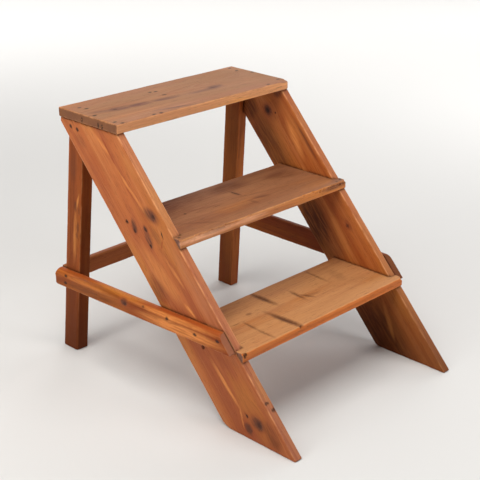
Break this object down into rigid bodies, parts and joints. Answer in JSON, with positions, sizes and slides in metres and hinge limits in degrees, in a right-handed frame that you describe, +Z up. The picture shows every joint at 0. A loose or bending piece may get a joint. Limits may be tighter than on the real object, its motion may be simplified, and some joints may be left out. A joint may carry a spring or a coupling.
{
  "type": "wooden step stool",
  "caption": "Free-standing pine step stool: sloping side boards carry housed treads, with rear legs, side braces and a rear rail.",
  "frame": {"origin": "on the floor, at the middle of the stool's width and depth", "axes": "+Z up, front of the stool towards -Y, +X towards the right side seen from the front"},
  "size_m": [0.592, 0.7486, 0.6],
  "materials": {
    "pine_side": "worn satin oil finish on old orange-brown pine",
    "pine_tread": "worn, dusty, scuffed satin finish on old honey-brown pine",
    "pine_leg": "darker worn satin finish on old red-brown pine"
  },
  "bodies": {
    "root": {"stringer_left": "pine_side", "stringer_right": "pine_side", "top_tread": "pine_tread", "middle_tread": "pine_tread", "bottom_tread": "pine_tread", "leg_left": "pine_leg", "leg_right": "pine_leg", "brace_left": "pine_side", "brace_right": "pine_side", "rear_rail": "pine_leg"}
  },
  "joints": []
}
